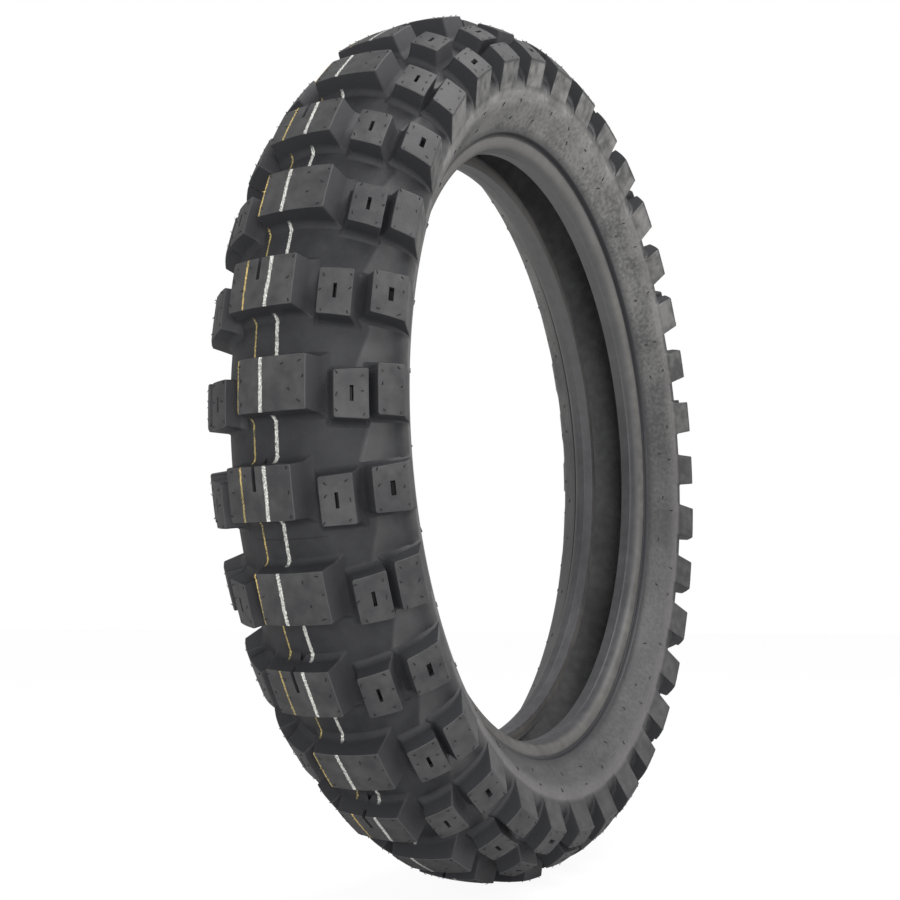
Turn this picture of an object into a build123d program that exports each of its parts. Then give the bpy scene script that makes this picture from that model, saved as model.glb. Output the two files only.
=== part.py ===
from build123d import *
from math import acos, asin, atan2, cos, degrees, hypot, radians, sin, tan
import os

# Knobby off-road motorcycle tyre for an 18-inch rim.
# Millimetres.  The origin is the wheel centre, the axle lies along Y and the
# tyre stands upright on its knobs, +Z up.  Every ring is drawn as a section in
# the (y, r) half-plane and revolved about Y; every knob is built at the top of
# the tyre and copied round.

# ---- driving dimensions ----------------------------------------------------
BEAD_SEAT_R = 228.6        # 18-inch rim: bead seat diameter 457.2
TOE_Y = 14.7               # half the gap between the two bead toes, as moulded
CROWN_R = 329.0            # tops of the centre blocks: overall diameter 658
GROOVE_DEPTH = 13.5        # from the block tops to the casing at the centre
PITCHES = 17               # pairs of knob rows round the tyre
FIRST_ROW_DEG = 14.48      # where the first A row sits, from the top towards +X

# casing surface between the knobs: a crown arc, a shoulder arc, a 45 degree wall
FLOOR_ARC_R = 63.5
FLOOR_SHOULDER_R = 20.0
FLOOR_SHOULDER_DEG = 64.0  # where the crown arc turns into the shoulder arc
LOWER_WALL_DEG = 45.0      # lower sidewall, from the axle line
RIB_Y = 39.5               # rim-line rib at the foot of the sidewall
SPLIT_DEG = 100.0          # tread and sidewall meet here, measured from straight up round the
                           # shoulder: just below the widest point

# carcass line: the outside of the outer ply
CARCASS_R = 309.5
CARCASS_SHOULDER_Y = 40.0
CARCASS_SHOULDER_Z = 273.0
CARCASS_SHOULDER_R = 16.0
CORE_Y = 22.5              # bead core centre
CORE_Z = 237.2
CORE_R = 4.0
TURN_UP_DEG = 50.0         # the plies leave the bead core at this slope
PLY = 1.0                  # one layer of cord in rubber
BREAKER_WIDE_DEG = 46.0    # half the sweep of the inner breaker
BREAKER_NARROW_DEG = 41.0
TURN_UP_OUTER = 22.0       # turn-up lengths, stepped so that the edge tapers
TURN_UP_INNER = 17.0
CHAFER = 0.8
CHAFER_UP = 9.0

# bead wire: one bundle of square rows
WIRE_R = 0.5
WIRE_PITCH = 1.2
WIRE_ROWS = 4
WIRE_GAP = 0.01            # the wire lies this much clear of its rubber

# knob tops: a flat arc over the centre blocks, a rounder one over the side knobs
CENTRE_ARC_R = 140.0
SIDE_ARC_R = 79.0
SIDE_TOP_R = 328.0
END_DRAFT = 8.0            # slope of the front and back walls
SIDE_DRAFT = 5.0           # slope of the walls along the tread, from the crown's own normal
BUTTRESS_DRAFT = 38.0      # outer wall of the shoulder knobs, down to the sidewall
CORNER_TOP_R = 1.5
CORNER_FOOT_R = 3.0
SLOT_WIDE = 3.0
SLOT_DEEP = 5.0
BLANK_ABOVE = 4.0          # a knob's blank stands this much proud before its top is cut
BLANK_SWEEP = 16.0         # degrees round the tyre that hold one knob's blank
CENTRE_REACH = 36.0        # the centre blocks lie within this distance of the centre line
SIDE_FROM_DEG = 75.0       # the side knobs lie between these angles on the casing and on
SIDE_FOOT_DEG = -20.0      # the tops' own arc, measured from +y
SIDE_TOP_DEG = 12.0

# ---- helpers in the (y, r) half-plane --------------------------------------
SECTION = Plane.YZ


def polar(centre, radius, angle):
    """Point on a circle; the angle runs from +y towards +r."""
    a = radians(angle)
    return (centre[0] + radius * cos(a), centre[1] + radius * sin(a))


def arc(centre, radius, a0, a1):
    """Arc from angle a0 to a1, either way round."""
    return CenterArc(centre, radius, min(a0, a1), abs(a1 - a0))


def along(point, heading, length):
    a = radians(heading)
    return (point[0] + length * cos(a), point[1] + length * sin(a))


def ring(face):
    """Revolve a section face about the axle."""
    return revolve(SECTION * face, Axis.Y, 360)


def mirrored(shape):
    """The same solids on the other side of the centre plane."""
    solids = [mirror(solid, Plane.XZ) for solid in shape.solids()]
    return solids[0] if len(solids) == 1 else Compound(children=solids)


def both_sides(face):
    """A section face that starts on the centre plane, with its mirror image."""
    return face + mirror(face, Plane.YZ)


# ---- casing surface (the floor between the knobs) ---------------------------
FLOOR_R = CROWN_R - GROOVE_DEPTH
FLOOR_CENTRE = (0.0, FLOOR_R - FLOOR_ARC_R)
FLOOR_TURN = 90.0 - FLOOR_SHOULDER_DEG
FLOOR_SHOULDER = polar(FLOOR_CENTRE, FLOOR_ARC_R - FLOOR_SHOULDER_R, FLOOR_TURN)
FLOOR_FOOT = polar(FLOOR_SHOULDER, FLOOR_SHOULDER_R, -LOWER_WALL_DEG)
RIB = along(FLOOR_FOOT, 180 + LOWER_WALL_DEG, (FLOOR_FOOT[0] - RIB_Y) / cos(radians(LOWER_WALL_DEG)))


def floor_edges():
    """Half of the casing surface, from the centre of the crown to the rim-line rib."""
    return [
        arc(FLOOR_CENTRE, FLOOR_ARC_R, 90, FLOOR_TURN),
        arc(FLOOR_SHOULDER, FLOOR_SHOULDER_R, FLOOR_TURN, -LOWER_WALL_DEG),
        Line(FLOOR_FOOT, RIB),
    ]


# ---- carcass line -----------------------------------------------------------
# The crown arc passes the middle of the crown and touches the shoulder arc.
SHOULDER = (CARCASS_SHOULDER_Y, CARCASS_SHOULDER_Z)
CORE = (CORE_Y, CORE_Z)
_drop = CARCASS_R - CARCASS_SHOULDER_R
CARCASS_CENTRE_Z = (SHOULDER[0] ** 2 + SHOULDER[1] ** 2 - _drop ** 2) / (2 * (SHOULDER[1] - _drop))
CARCASS_CENTRE = (0.0, CARCASS_CENTRE_Z)
CARCASS_ARC_R = CARCASS_R - CARCASS_CENTRE_Z
CARCASS_TURN = degrees(atan2(SHOULDER[1] - CARCASS_CENTRE_Z, SHOULDER[0]))
# The straight lower wall touches the shoulder arc on one side and the bead core
# on the other.
_span = hypot(SHOULDER[0] - CORE[0], SHOULDER[1] - CORE[1])
_slope = degrees(atan2(CORE[1] - SHOULDER[1], CORE[0] - SHOULDER[0]))
WALL_NORMAL = _slope + degrees(acos((CARCASS_SHOULDER_R + CORE_R) / _span))
CORE_START = WALL_NORMAL + 180.0
CORE_END = TURN_UP_DEG - 90.0 + 360.0


def carcass_edges(lift, turn_up):
    """Half of the carcass line, moved outwards by lift, with its turn-up round the bead core."""
    wrap = CORE_R - lift
    foot = polar(SHOULDER, CARCASS_SHOULDER_R + lift, WALL_NORMAL)
    core_in = polar(CORE, wrap, CORE_START)
    core_out = polar(CORE, wrap, CORE_END)
    return [
        arc(CARCASS_CENTRE, CARCASS_ARC_R + lift, 90, CARCASS_TURN),
        arc(SHOULDER, CARCASS_SHOULDER_R + lift, CARCASS_TURN, WALL_NORMAL),
        Line(foot, core_in),
        arc(CORE, wrap, CORE_START, CORE_END),
        Line(core_out, along(core_out, TURN_UP_DEG, turn_up)),
    ]


def ply_face(outer, inner, turn_up):
    """Section of one ply, half the tyre, with its end cut square."""
    ends = [
        Line((0, CARCASS_R + outer), (0, CARCASS_R + inner)),
        Line(
            along(polar(CORE, CORE_R - outer, CORE_END), TURN_UP_DEG, turn_up),
            along(polar(CORE, CORE_R - inner, CORE_END), TURN_UP_DEG, turn_up),
        ),
    ]
    return make_face(carcass_edges(outer, turn_up) + carcass_edges(inner, turn_up) + ends)


def lining_face(outer, inner, last_angle):
    """Section of the inner lining, from the crown to the inner side of the bead core."""
    edges = []
    for lift in (outer, inner):
        foot = polar(SHOULDER, CARCASS_SHOULDER_R + lift, WALL_NORMAL)
        edges += [
            arc(CARCASS_CENTRE, CARCASS_ARC_R + lift, 90, CARCASS_TURN),
            arc(SHOULDER, CARCASS_SHOULDER_R + lift, CARCASS_TURN, WALL_NORMAL),
            Line(foot, polar(CORE, CORE_R - lift, CORE_START)),
            arc(CORE, CORE_R - lift, CORE_START, last_angle),
        ]
    edges.append(Line((0, CARCASS_R + outer), (0, CARCASS_R + inner)))
    edges.append(Line(polar(CORE, CORE_R - outer, last_angle), polar(CORE, CORE_R - inner, last_angle)))
    return make_face(edges)


def chafer_face():
    """Woven strip round the bead, outside the plies, from the toe to the flange."""
    inner = CORE_R + 2 * PLY
    outer = inner + CHAFER
    a = polar(CORE, inner, CORE_END)
    b = polar(CORE, outer, CORE_END)
    return make_face([
        arc(CORE, inner, LINING_END, CORE_END),
        arc(CORE, outer, LINING_END, CORE_END),
        Line(a, along(a, TURN_UP_DEG, CHAFER_UP)),
        Line(b, along(b, TURN_UP_DEG, CHAFER_UP)),
        Line(along(a, TURN_UP_DEG, CHAFER_UP), along(b, TURN_UP_DEG, CHAFER_UP)),
        Line(polar(CORE, inner, LINING_END), polar(CORE, outer, LINING_END)),
    ])


def breaker_face(lift, sweep):
    """Half of a breaker ply that lies on the crown of the carcass."""
    a = 90 - sweep
    low = CARCASS_ARC_R + lift
    high = low + PLY
    return make_face([
        arc(CARCASS_CENTRE, low, 90, a),
        arc(CARCASS_CENTRE, high, 90, a),
        Line((0, CARCASS_R + lift), (0, CARCASS_R + lift + PLY)),
        Line(polar(CARCASS_CENTRE, low, a), polar(CARCASS_CENTRE, high, a)),
    ])


def filler_face():
    """Hard rubber wedge between the bead core, the plies and their turn-up."""
    core_in = polar(CORE, CORE_R, CORE_START)
    core_out = polar(CORE, CORE_R, CORE_END)
    tip = along(core_out, TURN_UP_DEG, TURN_UP_OUTER)
    wall_heading = WALL_NORMAL + 90
    tip_in = along(core_in, wall_heading, TURN_UP_OUTER)
    return make_face([
        arc(CORE, CORE_R, CORE_END - 360, CORE_START),
        Line(core_in, tip_in),
        Line(tip_in, tip),
        Line(tip, core_out),
    ])


# ---- bead outline -------------------------------------------------------------
LINING_END = 180.0         # the lining and the chafer stop here on their way round the core
LINER_T = 1.0
TOE_CHAMFER = 1.2
TOE = (TOE_Y, BEAD_SEAT_R + TOE_CHAMFER)
SEAT_IN = (TOE_Y + TOE_CHAMFER, BEAD_SEAT_R)
SEAT_OUT = (23.0, BEAD_SEAT_R)
HEEL = (28.9, 231.5)
BAND = (33.9, 237.5)       # rounded band that the rim's flange bears on
BAND_HEADING = 231.5       # which way the band's surface runs towards the heel
GROOVE_DIP = 0.9           # the groove by the rim-line rib is sunk this much in y and in r


def bead_edges():
    """Outside of the bead, from the rim-line rib round the heel and the toe to the lining."""
    groove_mid = ((RIB[0] + BAND[0]) / 2 - GROOVE_DIP, (RIB[1] + BAND[1]) / 2 + GROOVE_DIP)
    lining = polar(CORE, CORE_R + 2 * PLY + LINER_T, LINING_END)
    return [
        Spline(RIB, groove_mid, BAND),
        Spline(BAND, HEEL, SEAT_OUT, tangents=[polar((0, 0), 1, BAND_HEADING), (-1, 0)]),
        Line(SEAT_OUT, SEAT_IN),
        Line(SEAT_IN, TOE),
        Line(TOE, lining),
    ]


def casing_face():
    """The whole half section: everything from the casing surface to the lining."""
    lift = -(2 * PLY + LINER_T)
    foot = polar(SHOULDER, CARCASS_SHOULDER_R + lift, WALL_NORMAL)
    inner = [
        arc(CARCASS_CENTRE, CARCASS_ARC_R + lift, 90, CARCASS_TURN),
        arc(SHOULDER, CARCASS_SHOULDER_R + lift, CARCASS_TURN, WALL_NORMAL),
        Line(foot, polar(CORE, CORE_R - lift, CORE_START)),
        arc(CORE, CORE_R - lift, CORE_START, LINING_END),
    ]
    return make_face(
        floor_edges() + bead_edges() + inner + [Line((0, FLOOR_R), (0, CARCASS_R + lift))]
    )


# ---- section faces of every ring ------------------------------------------------
ply_outer = ply_face(0.0, -PLY, TURN_UP_OUTER)
ply_inner = ply_face(-PLY, -2 * PLY, TURN_UP_INNER)
liner = lining_face(-2 * PLY, -2 * PLY - LINER_T, LINING_END)
breaker_inner = breaker_face(0.0, BREAKER_WIDE_DEG)
breaker_outer = breaker_face(PLY, BREAKER_NARROW_DEG)
chafer = chafer_face()
filler = filler_face()
core = Pos(*CORE) * Circle(CORE_R)
rubber = casing_face() - ply_outer - ply_inner - liner - breaker_inner - breaker_outer
rubber = rubber - chafer - filler - core


# The remaining rubber is cut into tread, sidewall and rim strip: the tread is what lies
# above a line from the shoulder's centre, and the rim strip what lies below a cut square
# to the lower wall at the rim-line rib.
OUTSIDE_Y = 120.0          # clear of the tyre's side, crown and bore
OUTSIDE_R = 400.0
BORE_R = 200.0
PAST_CENTRE = -1.0
CUT_LONG = 12.0            # longer than the wall is thick at the rib
split_shoulder = polar(FLOOR_SHOULDER, OUTSIDE_Y / 2, 90 - SPLIT_DEG)
tread_zone = Polygon(
    [
        (PAST_CENTRE, OUTSIDE_R),
        (PAST_CENTRE, FLOOR_SHOULDER[1]),
        FLOOR_SHOULDER,
        split_shoulder,
        (OUTSIDE_Y, OUTSIDE_R),
    ],
    align=None,
)
cut_in = along(RIB, 90 + LOWER_WALL_DEG, CUT_LONG)
cut_out = along(RIB, LOWER_WALL_DEG - 90, CUT_LONG)
bead_zone = Polygon(
    [cut_in, cut_out, (cut_out[0], BORE_R), (PAST_CENTRE, BORE_R), (PAST_CENTRE, cut_in[1])],
    align=None,
)
tread_half = rubber & tread_zone
rim_strip = rubber & bead_zone
sidewall = rubber - tread_zone - bead_zone

# ---- rings ------------------------------------------------------------------------
parts = {}


def centre_ring(name, face):
    """A ring that runs from one side of the tyre to the other."""
    parts[name] = ring(both_sides(face))


def side_rings(name, shape):
    """The same ring on the left (+Y) and the right (-Y) of the tyre."""
    parts[name + "_left"] = shape
    parts[name + "_right"] = mirrored(shape)


centre_ring("inner_liner", liner)
centre_ring("carcass_ply_inner", ply_inner)
centre_ring("carcass_ply_outer", ply_outer)
centre_ring("breaker_ply_inner", breaker_inner)
centre_ring("breaker_ply_outer", breaker_outer)
centre_ring("tread_base", tread_half)
side_rings("sidewall", ring(sidewall))
side_rings("rim_strip", ring(rim_strip))
side_rings("chafer", ring(chafer))
side_rings("bead_filler", ring(filler))

# ---- bead wire: square bundle of turns, each turn one ring, in rubber ----------------
wire_spots = []
for row in range(WIRE_ROWS):
    for turn in range(WIRE_ROWS):
        dy = (row - (WIRE_ROWS - 1) / 2) * WIRE_PITCH
        dz = (turn - (WIRE_ROWS - 1) / 2) * WIRE_PITCH
        wire_spots.append((CORE_Y + dy, CORE_Z + dz))
core_rubber = core
for spot in wire_spots:
    core_rubber = core_rubber - Pos(*spot) * Circle(WIRE_R + WIRE_GAP)
side_rings("bead_core", ring(core_rubber))
wires = [ring(Pos(*spot) * Circle(WIRE_R)) for spot in wire_spots]
side_rings("bead_wires", Compound(children=wires))


# ---- knobs --------------------------------------------------------------------------
def sector(face):
    """A section revolved through the few degrees that hold one knob, at the top of the tyre."""
    return Rot(0, -BLANK_SWEEP / 2, 0) * revolve(SECTION * face, Axis.Y, BLANK_SWEEP)


def centre_band():
    """Space between the casing and the tops of the centre blocks, a few degrees long."""
    low = (FLOOR_CENTRE, FLOOR_ARC_R)
    high = ((0, CROWN_R - CENTRE_ARC_R), CENTRE_ARC_R)
    sweep_low = degrees(asin(CENTRE_REACH / FLOOR_ARC_R))
    sweep_high = degrees(asin(CENTRE_REACH / CENTRE_ARC_R))
    face = make_face([
        arc(*low, 90 - sweep_low, 90 + sweep_low),
        arc(*high, 90 - sweep_high, 90 + sweep_high),
        Line(polar(*low, 90 - sweep_low), polar(*high, 90 - sweep_high)),
        Line(polar(*low, 90 + sweep_low), polar(*high, 90 + sweep_high)),
    ])
    return sector(face)


def side_band():
    """Space between the casing and the tops of the side knobs, down to the sidewall."""
    high = ((0, SIDE_TOP_R - SIDE_ARC_R), SIDE_ARC_R)
    face = make_face([
        arc(FLOOR_CENTRE, FLOOR_ARC_R, SIDE_FROM_DEG, FLOOR_TURN),
        arc(FLOOR_SHOULDER, FLOOR_SHOULDER_R, FLOOR_TURN, SIDE_FOOT_DEG),
        Line(polar(FLOOR_SHOULDER, FLOOR_SHOULDER_R, SIDE_FOOT_DEG), polar(*high, SIDE_TOP_DEG)),
        arc(*high, SIDE_TOP_DEG, SIDE_FROM_DEG),
        Line(polar(*high, SIDE_FROM_DEG), polar(FLOOR_CENTRE, FLOOR_ARC_R, SIDE_FROM_DEG)),
    ])
    return sector(face)


CENTRE_BAND = centre_band()
SIDE_BAND = side_band()


def knob(y_in, y_out, long_in, long_out, deep, draft_out=SIDE_DRAFT, slot=None):
    """One knob at the top of the tyre, between y_in and y_out at its top.

    long_in and long_out are its lengths round the tyre along those two edges, deep is how far
    its walls are drawn down before the casing cuts them off, and slot is (length, x, y) of the
    slot sunk in its top.
    """
    centre = y_in < 0 < y_out
    arc_r, top_r = (CENTRE_ARC_R, CROWN_R) if centre else (SIDE_ARC_R, SIDE_TOP_R)
    lean_in = asin(y_in / arc_r)
    lean_out = asin(y_out / arc_r)
    lean = (lean_in + lean_out) / 2
    half = arc_r * (lean_out - lean_in) / 2
    fan = 0 if centre else lean_out - lean
    top = Plane(
        origin=(0, arc_r * sin(lean), top_r - arc_r + arc_r * cos(lean)),
        x_dir=(1, 0, 0),
        z_dir=(0, sin(lean), cos(lean)),
    )

    def outline(depth, corner):
        ends = depth * tan(radians(END_DRAFT))
        inner = depth * tan(radians(SIDE_DRAFT) - fan)
        outer = depth * tan(radians(draft_out) - fan)
        quad = Polygon(
            [
                (-long_in / 2 - ends, -half - inner),
                (long_in / 2 + ends, -half - inner),
                (long_out / 2 + ends, half + outer),
                (-long_out / 2 - ends, half + outer),
            ],
            align=None,
        )
        return top.offset(-depth) * fillet(quad.vertices(), corner)

    body = loft([outline(deep, CORNER_FOOT_R), outline(-BLANK_ABOVE, CORNER_TOP_R)])
    body = body & (CENTRE_BAND if centre else SIDE_BAND)
    if slot:
        length, x, y = slot
        body = body - top * Pos(x, y, 0) * Box(length, SLOT_WIDE, 2 * SLOT_DEEP)
    return body


def row(name, shape, row_deg, on_right=False):
    """Copy a knob to every pair of rows; row_deg turns it on from the A row."""
    shape = mirrored(shape) if on_right else shape
    pitch = 360 / PITCHES
    copies = [Rot(0, FIRST_ROW_DEG - row_deg + pitch * i, 0) * shape for i in range(PITCHES)]
    parts[name] = Compound(children=copies)


HALF_PITCH = 180 / PITCHES
MID_LAG = 1.2              # the mid knobs sit a little behind their centre block
SHOULDER_LAG = 0.65

# y at the inner and outer edge, length along each, depth drawn, then outer draft and slot
block_a = mirrored(knob(-17.0, 28.0, 31.0, 31.0, 20.0))
block_b = knob(-17.0, 28.0, 31.0, 31.0, 20.0, slot=(15.5, 8.0, 3.0))
mid_far = knob(39.0, 54.3, 26.5, 28.5, 24.0, slot=(8.6, 0, 0))
mid_close = knob(30.0, 46.2, 27.3, 28.0, 24.0, slot=(8.6, 0, 0))
shoulder_narrow = knob(57.8, 68.4, 28.6, 29.3, 27.0, BUTTRESS_DRAFT)
shoulder_wide = knob(53.8, 67.7, 24.5, 27.0, 27.0, BUTTRESS_DRAFT, slot=(8.0, 0, 1.0))

row("centre_blocks_a", block_a, 0)
row("centre_blocks_b", block_b, HALF_PITCH)
row("mid_knobs_a_right", mid_far, MID_LAG, on_right=True)
row("mid_knobs_a_left", mid_close, MID_LAG)
row("mid_knobs_b_right", mid_close, HALF_PITCH + MID_LAG, on_right=True)
row("mid_knobs_b_left", mid_far, HALF_PITCH + MID_LAG)
row("shoulder_knobs_a_right", shoulder_narrow, SHOULDER_LAG, on_right=True)
row("shoulder_knobs_a_left", shoulder_wide, SHOULDER_LAG)
row("shoulder_knobs_b_right", shoulder_wide, HALF_PITCH + SHOULDER_LAG, on_right=True)
row("shoulder_knobs_b_left", shoulder_narrow, HALF_PITCH + SHOULDER_LAG)

os.makedirs("parts", exist_ok=True)
for name, shape in parts.items():
    export_step(shape, "parts/" + name + ".step")
    print(name, round(shape.volume))
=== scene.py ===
# %% [markdown]
# # A knobby off-road motorcycle tyre
# The tyre is one loose ring of rubber, off its rim.  Its construction is packed already: bead
# wires, plies, breakers and the plain shape of every knob.  This lesson dresses it.  The packed
# model is loaded first as a fixed frame, in metres, and nothing in it is ever moved.

# %% Load the frame
import random
from math import atan2, cos, degrees, hypot, pi, radians, sin, sqrt

import bmesh
import bpy
from mathutils import Matrix, Vector


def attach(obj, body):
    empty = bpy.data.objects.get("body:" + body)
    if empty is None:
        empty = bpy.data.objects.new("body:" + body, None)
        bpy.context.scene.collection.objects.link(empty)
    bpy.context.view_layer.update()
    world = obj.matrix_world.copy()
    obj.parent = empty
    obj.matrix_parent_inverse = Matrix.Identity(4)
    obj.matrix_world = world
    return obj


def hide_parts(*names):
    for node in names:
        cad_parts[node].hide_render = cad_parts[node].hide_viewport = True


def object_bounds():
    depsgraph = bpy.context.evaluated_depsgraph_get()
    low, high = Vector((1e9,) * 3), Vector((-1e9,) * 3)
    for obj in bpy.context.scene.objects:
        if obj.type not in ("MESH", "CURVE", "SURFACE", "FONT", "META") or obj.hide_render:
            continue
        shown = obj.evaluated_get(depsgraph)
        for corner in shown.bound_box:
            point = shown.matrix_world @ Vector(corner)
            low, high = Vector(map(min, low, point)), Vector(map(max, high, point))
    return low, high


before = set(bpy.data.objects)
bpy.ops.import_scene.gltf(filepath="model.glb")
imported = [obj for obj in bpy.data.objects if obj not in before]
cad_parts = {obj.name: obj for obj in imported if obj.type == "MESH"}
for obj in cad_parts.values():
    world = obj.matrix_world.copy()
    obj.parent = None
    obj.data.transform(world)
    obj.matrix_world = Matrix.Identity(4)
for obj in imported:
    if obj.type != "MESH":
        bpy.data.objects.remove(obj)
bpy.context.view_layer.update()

bpy.ops.object.select_all(action="DESELECT")
print("pieces in the frame:", len(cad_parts))

# %% [markdown]
# ## Driving sizes
# A tyre is drawn as a section and turned about its axle.  The axle is the Y axis, so a section
# point is (y, r): how far it is from the centre line and from the axle.  Sizes are written in
# millimetres, as a mould maker writes them, and become metres only where a mesh is made.

# %% Sizes of the casing and the bead
MM = 0.001
AXLE = (0.0, 1.0, 0.0)
BEAD_SEAT_R = 228.6            # the rim's bead seat: 18 inches across
TOE_Y = 14.7                   # half the gap between the two bead toes
CROWN_R = 329.0                # tops of the centre blocks
GROOVE_DEPTH = 13.5
FLOOR_ARC_R = 63.5             # the casing between the knobs: crown arc, shoulder arc, straight wall
SHOULDER_ARC_R = 20.0
SHOULDER_START = radians(64)   # angles from straight up, where the crown arc ends
SHOULDER_STOP = radians(135)   # and where the straight lower wall begins
TREAD_STOP = radians(100)      # the tread band ends just below the widest point
RIB_Y = 37.8                   # rim-line rib
CARCASS_CENTRE_R = 244.226     # the carcass line under the rubber
CARCASS_ARC_R = 65.274
CARCASS_TURN = radians(54.3)
CARCASS_SHOULDER = (40.0, 273.0)
CARCASS_SHOULDER_R = 16.0
CORE = (22.5, 237.2)           # middle of the bead core
TURN_UP = radians(50)          # slope of the plies' turned-up ends
SPIN_STEPS = 360

FLOOR_CENTRE_R = CROWN_R - GROOVE_DEPTH - FLOOR_ARC_R
SHOULDER_Y = (FLOOR_ARC_R - SHOULDER_ARC_R) * sin(SHOULDER_START)
SHOULDER_R = FLOOR_CENTRE_R + (FLOOR_ARC_R - SHOULDER_ARC_R) * cos(SHOULDER_START)
T_SHOULDER = FLOOR_ARC_R * SHOULDER_START
T_WALL = T_SHOULDER + SHOULDER_ARC_R * (SHOULDER_STOP - SHOULDER_START)
T_SPLIT = T_SHOULDER + SHOULDER_ARC_R * (TREAD_STOP - SHOULDER_START)
print("casing width", round(2 * (SHOULDER_Y + SHOULDER_ARC_R), 1), "mm")

# %% [markdown]
# The surface of the casing is used again and again: for the tread band, for the sidewall, and to
# stand every knob on.  So it is one function of t, the distance along the surface from the
# centre line, as a tape laid over the tyre would measure it.


# %% Points on the casing surface
def casing(t, lift=0.0):
    """Point (y, r) on the casing, t from the centre line along it, lift above it."""
    side, t = (1 if t >= 0 else -1), abs(t)
    slide = max(0.0, t - T_WALL)
    if t <= T_SHOULDER:
        angle = t / FLOOR_ARC_R
        y, r, radius = 0.0, FLOOR_CENTRE_R, FLOOR_ARC_R
    else:
        angle = min(SHOULDER_START + (t - T_SHOULDER) / SHOULDER_ARC_R, SHOULDER_STOP)
        y, r, radius = SHOULDER_Y, SHOULDER_R, SHOULDER_ARC_R
    y += (radius + lift) * sin(angle) + slide * cos(angle)
    r += (radius + lift) * cos(angle) - slide * sin(angle)
    return side * y, r


def circle_point(centre, radius, angle):
    """Point on a circle in the section; the angle runs from +y towards +r."""
    return centre[0] + radius * cos(angle), centre[1] + radius * sin(angle)


def steps(start, stop, count):
    """Evenly spaced numbers, both ends included."""
    return [start + (stop - start) * i / count for i in range(count + 1)]


T_RIB = T_WALL + (casing(T_WALL)[0] - RIB_Y) / cos(radians(45))
RIB = casing(T_RIB)
print("rim-line rib at", [round(v, 1) for v in RIB])

# %% [markdown]
# ## Camera
# The tyre is seen from its front right and a little below the axle, from about 0.9 m, with a
# normal lens.

# %% Place the camera
CAMERA_AT = (-0.839, -0.384, -0.1365)
PAN = radians(62.48)           # from +Y towards +X
TILT = radians(8.29)           # upwards
camera_data = bpy.data.cameras.new("camera")
camera = bpy.data.objects.new("camera", camera_data)
bpy.context.scene.collection.objects.link(camera)
camera_data.sensor_width = 36.0
camera_data.lens = 46.41
camera_data.clip_end = 50.0
camera.location = CAMERA_AT
looking = Vector((cos(TILT) * sin(PAN), cos(TILT) * cos(PAN), sin(TILT)))
camera.rotation_euler = looking.to_track_quat("-Z", "Y").to_euler()
bpy.context.scene.camera = camera

# %% [markdown]
# ## Floor, background and light
# Black rubber shows its shape only through soft reflections, so the light is a pale room with
# three large soft lamps above and a smaller one low down in front.  The floor and the world are
# white where the camera looks straight at them, and the floor keeps some of the shadow.


# %% Small helpers for node materials
def node_tree(owner):
    """The owner's node tree, switched on and emptied."""
    owner.use_nodes = True
    owner.node_tree.nodes.clear()
    return owner.node_tree


def add_node(tree, kind, inputs=None, **settings):
    """Add a node; inputs are values or output sockets, by the socket's name or number."""
    node = tree.nodes.new(kind)
    for key, value in settings.items():
        setattr(node, key, value)
    for key, value in (inputs or {}).items():
        if isinstance(value, bpy.types.NodeSocket):
            tree.links.new(value, node.inputs[key])
        else:
            node.inputs[key].default_value = value
    return node


def maths(tree, operation, *values):
    """The result of a math node; its values are numbers or sockets, in the node's own order."""
    return add_node(tree, "ShaderNodeMath", dict(enumerate(values)), operation=operation).outputs[0]


def ramp(tree, value, start, stop, low=0.0, high=1.0):
    """From low to high while a value goes from start to stop, and level outside them."""
    limits = {"Value": value, "From Min": start, "From Max": stop, "To Min": low, "To Max": high}
    return add_node(tree, "ShaderNodeMapRange", limits).outputs[0]


# %% World and floor
WHITE = (1, 1, 1, 1)
ROOM_LIGHT = 0.62              # how strongly the room lights the tyre
scene = bpy.context.scene
scene.view_settings.view_transform = "Standard"
world = bpy.data.worlds.new("room")
scene.world = world
tree = node_tree(world)
rays = add_node(tree, "ShaderNodeLightPath").outputs
seen = maths(tree, "MAXIMUM", rays["Is Camera Ray"], rays["Is Transmission Ray"])
strength = ramp(tree, seen, 0.0, 1.0, ROOM_LIGHT, 1.0)
backdrop = add_node(tree, "ShaderNodeBackground", {"Color": WHITE, "Strength": strength})
add_node(tree, "ShaderNodeOutputWorld", {"Surface": backdrop.outputs[0]})

FLOOR_SIZE = 30.0
FLOOR_TONE = (0.7, 0.7, 0.7, 1)
FLOOR_SHADOW = 0.12            # how much of the shadow the white floor keeps
FLOOR_GLOW = 1.06
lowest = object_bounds()[0][2]
bpy.ops.mesh.primitive_plane_add(size=FLOOR_SIZE, location=(0, 0, lowest))
floor = bpy.context.object
floor.name = "floor"
floor_paint = bpy.data.materials.new("floor_white")
tree = node_tree(floor_paint)
rays = add_node(tree, "ShaderNodeLightPath").outputs
white = add_node(tree, "ShaderNodeEmission", {"Color": WHITE, "Strength": FLOOR_GLOW})
matt = add_node(tree, "ShaderNodeBsdfDiffuse", {"Color": FLOOR_TONE})
glow = maths(tree, "MULTIPLY", rays["Is Camera Ray"], 1 - FLOOR_SHADOW)
mix = add_node(tree, "ShaderNodeMixShader", {0: glow, 1: matt.outputs[0], 2: white.outputs[0]})
add_node(tree, "ShaderNodeOutputMaterial", {"Surface": mix.outputs[0]})
floor.data.materials.append(floor_paint)
print("floor at", round(lowest / MM, 1), "mm")


# %% Lamps
def soft_lamp(name, at, size, power):
    """A square lamp at a place, aimed at the middle of the tyre."""
    data = bpy.data.lights.new(name, "AREA")
    data.shape = "SQUARE"
    data.size = size
    data.energy = power
    lamp = bpy.data.objects.new(name, data)
    lamp.location = at
    lamp.rotation_euler = (-Vector(at)).to_track_quat("-Z", "Y").to_euler()
    scene.collection.objects.link(lamp)


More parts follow.
